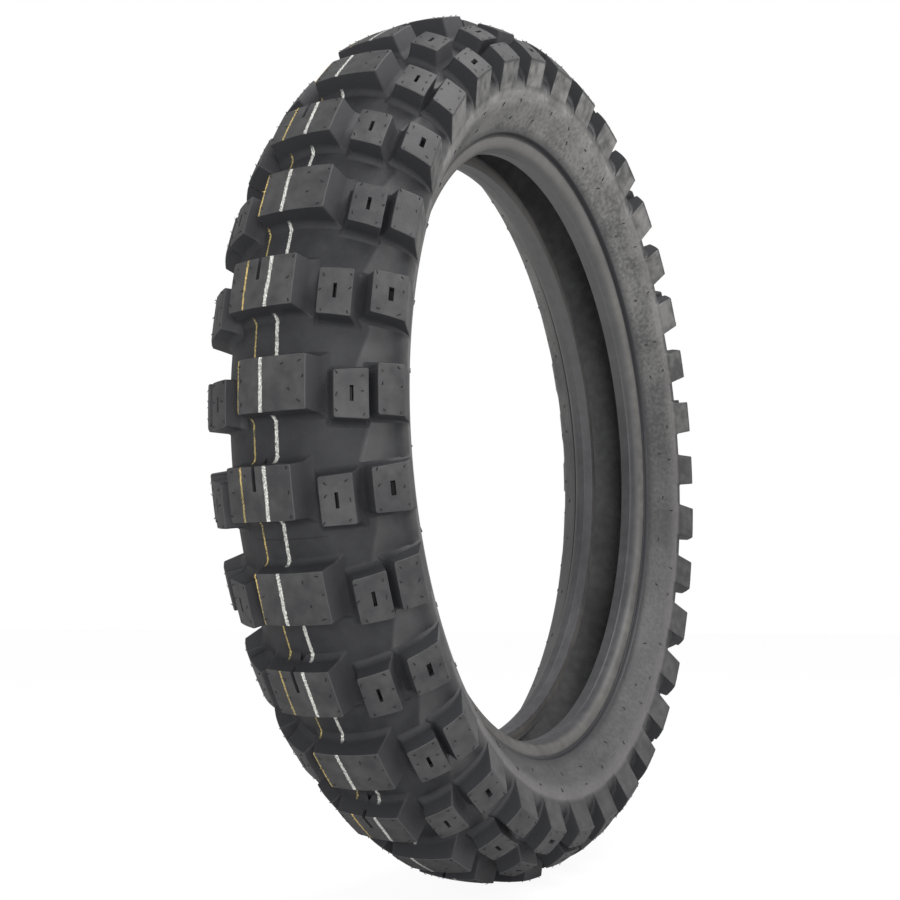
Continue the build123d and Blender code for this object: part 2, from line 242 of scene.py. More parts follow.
soft_lamp("lamp_right", (-0.5, -2.0, 1.9), 1.6, 16)
soft_lamp("lamp_front", (-2.6, 0.2, 0.8), 1.8, 13)
soft_lamp("lamp_top", (0.2, -1.2, 2.1), 1.4, 44)
soft_lamp("lamp_low", (-1.6, -1.0, 0.0), 0.6, 15)

# %% [markdown]
# ## Rubber
# Tyre rubber is a dark grey with a faint blue, never quite black.  What makes it rubber is the
# change over its surface: fine grain from the mould, paler rubbed patches, and a thin dull bloom.
# Noise at three sizes mixes those, and the same noise roughens the surface.


# %% Rubber material
CLOUD = (22.0, 4.0)            # scale and detail of the broad clouds
PATCH_DETAIL = 4.0
GRAIN = (900.0, 2.0)           # scale and detail of the mould's grain
GRAIN_BUMP = 0.25
GRAIN_DEEP = 0.6 * MM
MOTTLE = (0.8, 1.25)           # clouds and patches together, from the dark tone to the pale one
GLOSS_SPREAD = 0.1


def noise(tree, place, scale, detail):
    inputs = {"Vector": place, "Scale": scale, "Detail": detail}
    return add_node(tree, "ShaderNodeTexNoise", inputs).outputs[0]


def tones(tree, factor, pair):
    """Mix two colours, each a value or a socket."""
    return add_node(tree, "ShaderNodeMix", {"Factor": factor, "A": pair[0], "B": pair[1]},
                    data_type="RGBA").outputs["Result"]


def rubber(name, dark, pale, roughness, patches=120.0, specular=0.45):
    """Mottled rubber between a dark and a pale colour; returns the material and its key sockets."""
    material = bpy.data.materials.new(name)
    tree = node_tree(material)
    place = add_node(tree, "ShaderNodeTexCoord").outputs["Object"]
    cloud = noise(tree, place, *CLOUD)
    patch = noise(tree, place, patches, PATCH_DETAIL)
    fine = noise(tree, place, *GRAIN)
    tone = ramp(tree, maths(tree, "ADD", cloud, patch), *MOTTLE)
    colour = tones(tree, tone, (dark, pale))
    gloss = ramp(tree, patch, 0.0, 1.0, roughness - GLOSS_SPREAD, roughness + GLOSS_SPREAD)
    bump = add_node(tree, "ShaderNodeBump", {"Height": fine, "Strength": GRAIN_BUMP, "Distance": GRAIN_DEEP})
    shader = add_node(tree, "ShaderNodeBsdfPrincipled", {
        "Base Color": colour, "Roughness": gloss, "Normal": bump.outputs[0]})
    shader.inputs["Specular IOR Level"].default_value = specular
    add_node(tree, "ShaderNodeOutputMaterial", {"Surface": shader.outputs[0]})
    nodes = {"tree": tree, "place": place, "cloud": cloud, "patch": patch, "fine": fine}
    return material, {**nodes, "tone": tone, "colour": colour, "shader": shader}


# %% [markdown]
# The tread carries two lines of paint, laid on the flat strip of tread rubber before it was
# moulded: a white one near the middle and a thin yellow one beside it.  They run over blocks and
# grooves alike at a constant distance from the centre line, a little wavy, and are lost on the
# blocks' steep walls, where the rubber stretched.  So the paint is part of the material, driven by
# the Y coordinate.


# %% Painted lines
WHITE_LINE = dict(at=-0.2, width=2.2, wander=6.0, wear=0.24)
YELLOW_LINE = dict(at=16.4, width=1.2, wander=3.0, wear=0.2)
SWAY = (16.0, 2.0)             # noise that makes a line wander
SPECK = (1500.0, 1.0)          # and the one that breaks it into specks
RAGGED = 1.6                   # how far the grain frays its edges
FRAYED = (0.95, 0.7)           # the edge's start and end past half the width, with the fray
SPECKED = (0.44, 0.56)
THIN_PAINT = 0.25              # cover where the paint has worn


def part(tree, vector, axis):
    """One coordinate of a vector."""
    return add_node(tree, "ShaderNodeSeparateXYZ", {0: vector}).outputs[axis]


def product(tree, first, *others):
    for other in others:
        first = maths(tree, "MULTIPLY", first, other)
    return first


def paint_line(tree, nodes, under, bare, paint, at, width, wander, wear):
    """Mix a line of paint over a colour, except where bare is 1; sizes are in millimetres."""
    sway = maths(tree, "ADD", noise(tree, nodes["place"], *SWAY), -0.5)
    drift = maths(tree, "MULTIPLY_ADD", sway, wander * MM, part(tree, nodes["place"], "Y"))
    far = maths(tree, "ABSOLUTE", maths(tree, "SUBTRACT", drift, at * MM))
    ragged = maths(tree, "MULTIPLY_ADD", nodes["fine"], RAGGED * MM, far)
    edge = ramp(tree, ragged, (width / 2 + FRAYED[0]) * MM, (width / 2 + FRAYED[1]) * MM)
    kept = ramp(tree, nodes["patch"], 0.5 + wear, 0.4 + wear, THIN_PAINT, 1.0)
    grit = ramp(tree, noise(tree, nodes["place"], *SPECK), *SPECKED, THIN_PAINT, 1.0)
    shown = product(tree, edge, kept, grit, maths(tree, "SUBTRACT", 1.0, bare))
    return tones(tree, shown, (under, paint))


# %% [markdown]
# A knob is painted in several tones: its top is rubbed pale and matt, with a painted highlight on its
# edges; its walls are darker, painted lighter where they face along the axle and in painted shade where
# they face round the tyre; and a slot is darkest of all, in painted shade.  Every knob vertex carries its
# height on the bench, from 0 at the
# foot to 1 at the top, over 1 on a whisker and below 0 in a slot, as an attribute called lift.
# The tread band has no such attribute, so it reads as 0, and the same rubber runs on from band to
# knob without a seam.


# %% Tones
WALL_TONES = ((0.036, 0.036, 0.037, 1), (0.072, 0.071, 0.071, 1))
# dust, together with painted light from above
DUST_AND_TOP_LIGHT_TONE = (0.3, 0.295, 0.285, 1)
# wear and a painted highlight, for the pale ring below the widest point
WORN_AND_HIGHLIGHT_TONE = (0.16, 0.152, 0.15, 1)
BAND_DARK = (0.017, 0.0173, 0.019, 1)
BAND_PALE = (0.029, 0.0293, 0.032, 1)
LAND_TONE = (0.066, 0.065, 0.067, 1)
# painted shade in the slots; also the dark of the whiskers and of the mould seam
DARK_AND_SLOT_SHADE_TONE = (0.006, 0.006, 0.007, 1)
# painted shade on the knobs' end walls, which face round the tyre, and painted light on their side walls,
# which face along the axle
END_WALL_SHADE_TONE = (0.024, 0.0245, 0.028, 1)
FLANK_LIT_TONE = (0.036, 0.036, 0.039, 1)
# a painted highlight along the rounded edges of the tops
EDGE_HIGHLIGHT_TONE = (0.06, 0.06, 0.062, 1)
TOP_TONES = ((0.032, 0.032, 0.034, 1), (0.06, 0.059, 0.06, 1))
WHITE_PAINT = (0.68, 0.68, 0.64, 1)
YELLOW_PAINT = (0.72, 0.53, 0.17, 1)
FADED_YELLOW = (0.4, 0.32, 0.12, 1)

# %% Dust and painted light from above, wear and a painted highlight, and the seam of the mould
DUST_AND_TOP_LIGHT_HEIGHT = (0.0, 0.3)       # metres above the axle, where the dust and the painted top light begin and where they are full
DUST_AND_TOP_LIGHT_MOTTLE = (-0.3, 0.9)
WALL_DUST_AND_TOP_LIGHT = 0.7
# a pale ring below the widest point: partly wear, partly a painted highlight along the bulge
WORN_AND_HIGHLIGHT_RING = (0.256, 0.265, 0.267, 0.270)   # metres from the axle: begins, full, still full, gone
WORN_AND_HIGHLIGHT = 0.45
SEAM_AT = radians(17)          # down from straight ahead
SEAM_HALF = (0.4 * MM, 0.1 * MM)
SEAM_OUT = (0.2, 0.21)         # metres ahead of the axle, so that it lies on the front alone
SEAM_ENDS = (25 * MM, 22 * MM)
SEAM_LIFT = (0.02, 0.01)       # it stops at the knobs' feet


def distance_from_axle(tree, place):
    flat = add_node(tree, "ShaderNodeVectorMath", {0: place, 1: (1, 0, 1)}, operation="MULTIPLY").outputs[0]
    return add_node(tree, "ShaderNodeVectorMath", {0: flat}, operation="LENGTH").outputs["Value"]


def distance_along(tree, place, direction):
    dot = add_node(tree, "ShaderNodeVectorMath", {0: place, 1: direction}, operation="DOT_PRODUCT")
    return dot.outputs["Value"]


def mould_seam(tree, place, lift):
    """A hairline across the groove where two segments of the mould meet, on the tyre's front."""
    off = distance_along(tree, place, (sin(SEAM_AT), 0, -cos(SEAM_AT)))
    out = distance_along(tree, place, (-cos(SEAM_AT), 0, -sin(SEAM_AT)))
    near = ramp(tree, maths(tree, "ABSOLUTE", off), *SEAM_HALF)
    within = ramp(tree, maths(tree, "ABSOLUTE", part(tree, place, "Y")), *SEAM_ENDS)
    return product(tree, near, ramp(tree, out, *SEAM_OUT), within, ramp(tree, lift, *SEAM_LIFT))


def ring(tree, radius, start, full, last, stop):
    """1 between two distances from the axle in metres, with a soft edge on either side."""
    return product(tree, ramp(tree, radius, start, full), ramp(tree, radius, stop, last))


def dusted_and_lit_from_above(tree, nodes, colour):
    """Dust that has settled on the upper half of a wall and painted light from above, over a colour."""
    # paler towards the top: settled dust and painted light from above
    dust_and_top_light = ramp(tree, part(tree, nodes["place"], "Z"), *DUST_AND_TOP_LIGHT_HEIGHT)
    cover = product(tree, dust_and_top_light, ramp(tree, nodes["tone"], *DUST_AND_TOP_LIGHT_MOTTLE), WALL_DUST_AND_TOP_LIGHT)
    return tones(tree, cover, (colour, DUST_AND_TOP_LIGHT_TONE))


def wall_colour(tree, nodes, radius, colour):
    """The pale ring where the knobs run out into the wall, worn and with a painted highlight along the
    bulge, and the dust and painted top light over it.
    """
    # the worn ring with its painted highlight
    worn_and_highlight = product(tree, ring(tree, radius, *WORN_AND_HIGHLIGHT_RING), WORN_AND_HIGHLIGHT)
    return dusted_and_lit_from_above(tree, nodes, tones(tree, worn_and_highlight, (colour, WORN_AND_HIGHLIGHT_TONE)))


# %% [markdown]
# The tread rubber is painted in layers, each a mask over the one before: the dusty land, the
# knobs' walls, painted lighter where they face along the axle and in painted shade where they face
# round the tyre, the buttress that shares the sidewall's dust and painted light, the tops with their
# edges paler as a painted highlight, the slots in painted shade, the whiskers, the seam and the two
# lines.  A mask is a ramp between two values.

# %% Tread rubber
FLANK_NORMAL = (0.4, 0.75)     # the normal's part along the axle; it picks the side walls, painted lighter than the end walls in painted shade
LAND_CLOUD = (0.3, 0.6)
WALL_LIFT = (0.02, 0.3)
BUTTRESS_R = (0.294, 0.291)    # metres from the axle
BUTTRESS_LIFT = (0.3, 0.4)
BAND_EDGE_R = (0.277, 0.267)
BELOW_TOP = (0.97, 0.9)
TOP_LIFT = (0.955, 0.97)
TOP_END = (1.04, 1.01)
EDGE_HIGHLIGHT_LIFT = (0.9995, 0.985)
SLOT_SHADE_LIFT = (-0.02, -0.2)
WHISKER_LIFT = (1.005, 1.02)
BARE_FOOT = (0.12, 0.35)       # the lines fade out up the fillet
BARE_EDGE = (0.965, 0.95)      # and start again at the top's edge
FADING = (0.5, 0.6)


def tread_rubber():
    material, nodes = rubber("tread_rubber", BAND_DARK, BAND_PALE, 0.6, specular=0.3)
    tree, tone, cloud = nodes["tree"], nodes["tone"], nodes["cloud"]
    lift = add_node(tree, "ShaderNodeAttribute", attribute_name="lift").outputs["Fac"]
    dust = add_node(tree, "ShaderNodeAttribute", attribute_name="dust").outputs["Fac"]
    facing = add_node(tree, "ShaderNodeNewGeometry").outputs["Normal"]
    flank = ramp(tree, maths(tree, "ABSOLUTE", part(tree, facing, "Y")), *FLANK_NORMAL)
    land = product(tree, dust, ramp(tree, cloud, *LAND_CLOUD))
    colour = tones(tree, land, (nodes["colour"], LAND_TONE))
    # side walls painted lighter than end walls, as painted light and shade
    lit_and_shaded_walls = tones(tree, flank, (END_WALL_SHADE_TONE, FLANK_LIT_TONE))
    colour = tones(tree, ramp(tree, lift, *WALL_LIFT), (colour, lit_and_shaded_walls))
    radius = distance_from_axle(tree, nodes["place"])
    # buttress faces turned along the axle take the sidewall's paler colour, painted light by the way they
    # face
    buttress = product(tree, ramp(tree, radius, *BUTTRESS_R), ramp(tree, lift, *BUTTRESS_LIFT))
    low = maths(tree, "MAXIMUM", buttress, ramp(tree, radius, *BAND_EDGE_R))
    outside = product(tree, flank, low, ramp(tree, lift, *BELOW_TOP))
    wall = wall_colour(tree, nodes, radius, tones(tree, tone, WALL_TONES))
    colour = tones(tree, outside, (colour, wall))
    top = product(tree, ramp(tree, lift, *TOP_LIFT), ramp(tree, lift, *TOP_END))
    # the tops rubbed pale, their edges paler still as a painted highlight
    rubbed_top_and_edge_highlight = tones(tree, ramp(tree, lift, *EDGE_HIGHLIGHT_LIFT), (tones(tree, tone, TOP_TONES), EDGE_HIGHLIGHT_TONE))
    colour = tones(tree, top, (colour, rubbed_top_and_edge_highlight))
    # painted shade in the slots
    colour = tones(tree, ramp(tree, lift, *SLOT_SHADE_LIFT), (colour, DARK_AND_SLOT_SHADE_TONE))
    colour = tones(tree, ramp(tree, lift, *WHISKER_LIFT), (colour, DARK_AND_SLOT_SHADE_TONE))
    colour = tones(tree, mould_seam(tree, nodes["place"], lift), (colour, DARK_AND_SLOT_SHADE_TONE))
    end = product(tree, ramp(tree, lift, *BARE_FOOT), ramp(tree, lift, *BARE_EDGE))
    bare = maths(tree, "MAXIMUM", flank, end)
    colour = paint_line(tree, nodes, colour, bare, WHITE_PAINT, **WHITE_LINE)
    yellow = tones(tree, ramp(tree, cloud, *FADING), (FADED_YELLOW, YELLOW_PAINT))
    colour = paint_line(tree, nodes, colour, bare, yellow, **YELLOW_LINE)
    tree.links.new(colour, nodes["shader"].inputs["Base Color"])
    return material


TREAD_RUBBER = tread_rubber()
print("tread rubber:", len(TREAD_RUBBER.node_tree.nodes), "nodes")

# %% [markdown]
# The sidewall is paler, and paler still on its upper half, where dust settles and wipes off in
# patches and light from above is painted in.  The bead is darkest in its groove, a painted shade,
# and palest on the rounded band, a painted highlight.

# %% Sidewall and bead rubber
# painted shade in the groove beside the bead, and at the wall's foot next to it
GROOVE_SHADE_TONE = (0.018, 0.018, 0.021, 1)
# the rounded band is paler, a painted highlight
BAND_HIGHLIGHT_TONES = ((0.06, 0.058, 0.056, 1), (0.1, 0.095, 0.088, 1))
BEAD_TONES = ((0.036, 0.036, 0.039, 1), (0.056, 0.056, 0.06, 1))
VENT_TONES = ((0.008, 0.008, 0.009, 1), (0.02, 0.02, 0.021, 1))
WALL_PATCHES = 300.0
WALL_FOOT_SHADE_R = (0.2465, 0.2415)             # metres from the axle, towards the groove, in painted shade
WALL_GROOVE_SHADE = 0.75
BAND_HIGHLIGHT_RING = (0.2292, 0.2312, 0.2380, 0.2395)
GROOVE_SHADE_RING = (0.2380, 0.2398, 0.2410, 0.2470)
# dust and painted light from above on the bead's upper half
BEAD_DUST_AND_TOP_LIGHT = 0.28


def wall_rubber():
    material, nodes = rubber("wall_rubber", *WALL_TONES, 0.5, WALL_PATCHES)
    tree = nodes["tree"]
    radius = distance_from_axle(tree, nodes["place"])
    colour = wall_colour(tree, nodes, radius, nodes["colour"])
    # painted shade at the wall's foot, beside the groove
    foot = product(tree, ramp(tree, radius, *WALL_FOOT_SHADE_R), WALL_GROOVE_SHADE)
    tree.links.new(tones(tree, foot, (colour, GROOVE_SHADE_TONE)), nodes["shader"].inputs["Base Color"])
    return material


def bead_rubber():
    material, nodes = rubber("bead_rubber", *BEAD_TONES, 0.52)
    tree = nodes["tree"]
    radius = distance_from_axle(tree, nodes["place"])
    band = tones(tree, nodes["tone"], BAND_HIGHLIGHT_TONES)
    # the rounded band paler, a painted highlight
    colour = tones(tree, ring(tree, radius, *BAND_HIGHLIGHT_RING), (nodes["colour"], band))
    # paler towards the top: settled dust and painted light from above
    dust_and_top_light = product(tree, ramp(tree, part(tree, nodes["place"], "Z"), *DUST_AND_TOP_LIGHT_HEIGHT), BEAD_DUST_AND_TOP_LIGHT)
    colour = tones(tree, dust_and_top_light, (colour, DUST_AND_TOP_LIGHT_TONE))
    # painted shade in the groove
    colour = tones(tree, ring(tree, radius, *GROOVE_SHADE_RING), (colour, GROOVE_SHADE_TONE))
    tree.links.new(colour, nodes["shader"].inputs["Base Color"])
    return material


WALL_RUBBER = wall_rubber()
VENT_RUBBER = rubber("vent_rubber", *VENT_TONES, 0.6)[0]
BEAD_RUBBER = bead_rubber()
print("rubbers:", [m.name for m in (TREAD_RUBBER, WALL_RUBBER, VENT_RUBBER, BEAD_RUBBER)])

# %% [markdown]
# ## Rings
# Tread band, sidewalls and rim strips are all rings of one section.  By hand, a section is drawn
# from a single vertex that is extruded from point to point, closed, and spun about the axle.
# Spin was chosen over Screw because it closes the ring in one go.


# %% Draw a section and spin it
RING_SMOOTH = radians(40)      # edges that turn less than this are smooth
SAME_PLACE = 0.001 * MM        # vertices closer than this are one


def start_mesh(name):
    """A new object in edit mode, with a single vertex at the origin."""
    bpy.ops.mesh.primitive_plane_add(size=1, enter_editmode=True, location=(0, 0, 0))
    piece = bpy.context.object
    piece.name = piece.data.name = name
    bpy.ops.mesh.merge(type="CENTER")
    return piece


def finish_mesh(piece, material, smooth):
    """Leave edit mode with outward normals, smooth shading and a material."""
    bpy.ops.mesh.select_all(action="SELECT")
    bpy.ops.mesh.remove_doubles(threshold=SAME_PLACE)
    bpy.ops.mesh.normals_make_consistent(inside=False)
    bpy.ops.object.mode_set(mode="OBJECT")
    bpy.ops.object.shade_smooth_by_angle(angle=smooth)
    piece.data.materials.clear()
    piece.data.materials.append(material)
    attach(piece, "root")
    bpy.ops.object.select_all(action="DESELECT")
    print(piece.name, len(piece.data.polygons), "faces")


def spun_ring(name, section, material):
    """Extrude one vertex round a closed section and spin it about the axle."""
    piece = start_mesh(name)
    here = Vector((0, 0, 0))
    for y, r in section:
        there = Vector((0, y * MM, r * MM))
        if here.length:
            bpy.ops.mesh.extrude_region_move(TRANSFORM_OT_translate={"value": there - here})
        else:
            bpy.ops.transform.translate(value=there)
        here = there
    bpy.ops.mesh.select_all(action="SELECT")
    bpy.ops.mesh.edge_face_add()
    bpy.ops.mesh.delete(type="ONLY_FACE")
    bpy.ops.mesh.select_all(action="SELECT")
    bpy.ops.mesh.spin(steps=SPIN_STEPS, angle=2 * pi, center=(0, 0, 0), axis=AXLE, use_auto_merge=True)
    finish_mesh(piece, material, RING_SMOOTH)
    return piece


# %% [markdown]
# The tread band lies on the plies, so its inner side follows them: over the two breakers, down
# their stepped edges and round the shoulder of the carcass.  Its outer side is the casing, with a
# fine step moulded into it where two parts of the mould meet.

# %% Tread band
BREAKER_SWEEPS = (radians(41), radians(46))
SHOULDER_CUT = radians(-17.4)  # where the tread's edge meets the carcass
STEP_T = 49.0                  # a fine step between the tread and the shoulder's land
STEP_HIGH = 0.45
STEP_WIDE = 2.0
DUST_FADE_AND_GAP_SHADE = 10.0               # over how much of the land the dust fades out towards the shoulder, painting shade into the gaps there
LAND_START = 24.0              # the casing's points are spread anew from here outwards


def carcass(angle, lift):
    """Point on the crown of the carcass, the angle measured from straight up."""
    return circle_point((0, CARCASS_CENTRE_R), CARCASS_ARC_R + lift, pi / 2 - angle)


def half_band():
    """Right half of the band's section, from the centre line out and back to it underneath."""
    outer = [casing(t) for t in steps(0, STEP_T, 26)]
    outer += [casing(t, STEP_HIGH) for t in steps(STEP_T + STEP_WIDE, T_SHOULDER, 14)]
    outer += [casing(t, STEP_HIGH * (T_SPLIT - t) / (T_SPLIT - T_SHOULDER))
              for t in steps(T_SHOULDER, T_SPLIT, 7)[1:]]
    narrow, wide = BREAKER_SWEEPS
    inner = [circle_point(CARCASS_SHOULDER, CARCASS_SHOULDER_R, a)
             for a in steps(SHOULDER_CUT, pi / 2 - CARCASS_TURN, 6)]
    inner += [carcass(wide, 0), carcass(wide, 1), carcass(narrow, 1), carcass(narrow, 2)]
    inner += [carcass(a, 2) for a in steps(narrow, 0, 10)[1:]]
    return outer, inner


outer, inner = half_band()
far_outer = [(-y, r) for y, r in reversed(outer[1:])]
far_inner = [(-y, r) for y, r in reversed(inner[:-1])]
tread_band = spun_ring("tread_band", far_outer + outer + inner + far_inner, TREAD_RUBBER)
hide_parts("tread_base")

# %% [markdown]
# The step isn't a plain circle.  From each row of knobs it slants in towards the centre line
# until it meets the next row, and starts again there.  The band was spun with a plain step, so
# the points near it now slide along the casing.  They keep their height over it.  The land
# outside the step is dusty, which the rubber reads from an attribute; towards the shoulder the dust
# fades out, which paints shade into the gaps between the shoulder knobs.

# %% Slant the step
PITCHES = 17                   # pairs of rows round the tyre
FIRST_ROW = 14.48              # degrees from the top to the first A row
B_ROW = 180 / PITCHES
SLANT = ((3.5, 53.5), (8.7, 44.0), (3.5 + B_ROW, 53.5))


def step_place(turn):
    """Where the step runs, by the angle in degrees past the nearest row before it."""
    turn = (turn - SLANT[0][0]) % B_ROW + SLANT[0][0]
    (a0, t0), (a1, t1) = SLANT[:2] if turn < SLANT[1][0] else SLANT[1:]
    return t0 + (t1 - t0) * (turn - a0) / (a1 - a0)


def slide_step(mesh):
    """Spread the outer points anew between the land's start, the slanting step and the shoulder."""
    dust = mesh.attributes.new("dust", "FLOAT", "POINT")
    for index, vert in enumerate(mesh.vertices):
        y, r = vert.co.y / MM, hypot(vert.co.x, vert.co.z) / MM
        out, up = abs(y), r - FLOOR_CENTRE_R
        height = hypot(out, up) - FLOOR_ARC_R
        t = FLOOR_ARC_R * atan2(out, up)
        if height < -0.01 or t < LAND_START or t > T_SHOULDER:
            continue
        angle = degrees(atan2(-vert.co.x, vert.co.z))
        place = step_place(FIRST_ROW - angle)
        inside = t < STEP_T + 0.1
        # dust on the land, fading out towards the shoulder as painted shade in the gaps
        dust.data[index].value = 0.0 if inside else min(1.0, (T_SHOULDER - t) / DUST_FADE_AND_GAP_SHADE)
        if inside:
            t = LAND_START + (t - LAND_START) * (place - LAND_START) / (STEP_T - LAND_START)
        else:
            start = STEP_T + STEP_WIDE
            t = place + STEP_WIDE + (t - start) * (T_SHOULDER - place - STEP_WIDE) / (T_SHOULDER - start)
        new_y, new_r = casing(t, height)
        vert.co = (vert.co.x * new_r / r, new_y * MM * (1 if y > 0 else -1), vert.co.z * new_r / r)


slide_step(tread_band.data)

# %% [markdown]
# The sidewall runs from the tread's edge down its straight lower wall to the rim-line rib, the
# fine raised line that shows whether the tyre sits evenly on its rim.  The rim strip is the rest
# of the bead: a shallow groove, a rounded band that the rim's flange bears on, a fine ridge where
# the mould closes, the flat seat and the toe.

# %% Sizes of the walls and the rim strips
TURN_UP_FOOT = circle_point(CORE, 6.0, TURN_UP - pi / 2)
TURN_UP_TOP = (40.5, 250.8)
FILLER_TIP = (38.6, 252.8)
PLY_WALL_TOP = (48.9, 259.7)
PLY_WALL_CUT = radians(-50)
CHAFER_EDGE = 9.0              # up the turned-up plies from their foot
STRIP_EDGE = 15.8              # where the rim strip and the sidewall part
PLY_EDGE = 17.0
CHAFER_R = 6.8                 # round the bead core
RIB_HIGH = 0.3
RIB_HALF = 0.8
GROOVE_SIDE = (35.8, 240.4)    # handle of the curve from the rib to the groove
GROOVE_LOW = (34.7, 240.5)
GROOVE_TURN = (33.8, 240.2)    # handle of the curve out of the groove
BAND_FOOT = (34.1, 238.6)
BAND_SIDE = (34.5, 237.5)      # handle of the curve from the foot to the crest
BAND_CREST = (34.3, 236.6)
BAND_TOP = (33.9, 228.6)       # handle of the curve from the crest to the seat
SEAT_EDGE = (24.2, 228.7)
RIDGE = (23.4, 228.2)
SEAT_OUT = (22.6, 228.6)
TOE = ((TOE_Y + 1.6, BEAD_SEAT_R), (TOE_Y + 0.4, BEAD_SEAT_R + 0.4), (TOE_Y, BEAD_SEAT_R + 1.3))
CORE_SIDE = (CORE[0] - 7.0, CORE[1])


# %% Sidewalls and rim strips
def from_turn_up(length):
    """Point on the turned-up plies, at a length up from their foot."""
    return TURN_UP_FOOT[0] + length * cos(TURN_UP), TURN_UP_FOOT[1] + length * sin(TURN_UP)


def bow(start, handle, stop, count):
    """A curved stretch from start to stop, drawn towards a handle, without its first point."""
    points = []
    for i in range(1, count + 1):
        s = i / count
        points.append(tuple(
            (1 - s) ** 2 * start[k] + 2 * s * (1 - s) * handle[k] + s * s * stop[k] for k in range(2)))
    return points


def wall_section():
    outer = [casing(t) for t in steps(T_SPLIT, T_WALL, 10)]
    outer += [casing(t) for t in steps(T_WALL, T_RIB - 1.6 * RIB_HALF, 6)[1:]]
    outer += [casing(T_RIB - RIB_HALF, RIB_HIGH), casing(T_RIB, RIB_HIGH)]
    inner = [from_turn_up(STRIP_EDGE), from_turn_up(PLY_EDGE), TURN_UP_TOP, FILLER_TIP, PLY_WALL_TOP]
    inner += [circle_point(CARCASS_SHOULDER, CARCASS_SHOULDER_R, a)
              for a in steps(PLY_WALL_CUT, SHOULDER_CUT, 4)]
    return outer + inner


def rim_section():
    groove_start = casing(T_RIB + RIB_HALF)
    points = [casing(T_RIB, RIB_HIGH), casing(T_RIB + 0.4 * RIB_HALF, RIB_HIGH), groove_start]
    points += bow(groove_start, GROOVE_SIDE, GROOVE_LOW, 5)
    points += bow(GROOVE_LOW, GROOVE_TURN, BAND_FOOT, 4)
    points += bow(BAND_FOOT, BAND_SIDE, BAND_CREST, 3)
    points += bow(BAND_CREST, BAND_TOP, SEAT_EDGE, 12)
    points += [RIDGE, SEAT_OUT, *TOE, CORE_SIDE]
    points += [circle_point(CORE, CHAFER_R, a) for a in steps(pi, 2 * pi + TURN_UP - pi / 2, 10)]
    points += [from_turn_up(CHAFER_EDGE), from_turn_up(STRIP_EDGE)]
    return points


for side, sign in (("left", 1), ("right", -1)):
    wall = spun_ring("sidewall_skin_" + side, [(sign * y, r) for y, r in wall_section()], WALL_RUBBER)
    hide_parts("sidewall_" + side)
    bead = spun_ring("bead_skin_" + side, [(sign * y, r) for y, r in rim_section()], BEAD_RUBBER)
    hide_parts("rim_strip_" + side)

# %% [markdown]
# The sidewalls carry the stubs of small vents, snapped off and lying flat.  They stand in two
# uneven rings.  One stub is a short six-sided rod, laid down, turned its own way and moved to its
# place on the wall.

# %% Vent stubs on the sidewalls
VENT_RINGS = ((T_SPLIT + 9.0, 37), (T_WALL + 8.0, 31))   # place on the wall, how many
VENT_LONG = 3.0
VENT_R = 0.6
VENT_STRAY = 2.0               # across the wall, in millimetres
VENT_SWING = 0.3               # round the axle, as a share of their spacing
VENT_SMOOTH = radians(30)


def vent_stub(place, turn, lie, sign):
    """Lay one stub on the wall; turn is its place round the axle, lie its own direction."""
    y, r = casing(place)
    bpy.ops.mesh.select_all(action="DESELECT")
    bpy.ops.mesh.primitive_cylinder_add(vertices=6, radius=VENT_R * MM, depth=VENT_LONG * MM,
                                        location=(0, 0, 0), rotation=(0, pi / 2, lie))
    bpy.ops.transform.rotate(value=sign * SHOULDER_STOP, orient_axis="X", center_override=(0, 0, 0))
    bpy.ops.transform.translate(value=(0, sign * y * MM, r * MM))
    bpy.ops.transform.rotate(value=turn, orient_axis="Y", center_override=(0, 0, 0))


for side, sign in (("left", 1), ("right", -1)):
    vents = start_mesh("wall_vents_" + side)
    bpy.ops.mesh.delete(type="VERT")
    dice = random.Random(side)
    for place, count in VENT_RINGS:
        for number in range(count):
            turn = 2 * pi * (number + dice.uniform(-VENT_SWING, VENT_SWING)) / count
            vent_stub(place + dice.uniform(-VENT_STRAY, VENT_STRAY), turn, dice.uniform(0, pi), sign)
    finish_mesh(vents, VENT_RUBBER, VENT_SMOOTH)
    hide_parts("sidewall_" + side)

# %% [markdown]
# ## Knobs
# A knob is modelled flat on the bench, where its outline, walls and slot are plain numbers, and
# is then wrapped on to the tyre.  Its foot is a wide fillet, because a sharp corner there would
# tear in use.  The wrap is a few lines of code instead of Blender's bend, because a bend cannot
# follow the casing below and the rounder crown above at once.

# %% Sizes of the knobs
MID_LAG = 1.2                  # the side knobs sit a little behind their block
SHOULDER_LAG = 0.65
TALL = 14.0                    # height on the bench
DRAFT_OUT = 2.0                # how far the two side walls lean out by the foot
DRAFT_END = 0.8                # and the two end walls
CORNER = 1.2
FOOT_FILLET = 4.5
FOOT_FLANGE = 6.5
EDGE_ROUND = 0.5
FLANGE_SINK = 0.5              # how deep the flange's rim dips under the casing
SLOT_DEEP = 5.0
OPEN_END = 0.5                 # a slit that ends this close to the edge runs out of it
TOP_CUTS = (-10.0, -5.2, 5.2, 10.0)        # cuts across a top, so that it can bend
STRIP = 4.0                    # and the width of the strips along it
UNDER_STRIPS = 8
CLOSE = 0.01 * MM              # how near a vertex lies to the place it is looked for at
CENTRE_TOP = (140.0, CROWN_R)  # radius across the tops, and their height on the centre line
SIDE_TOP = (79.0, 328.0)

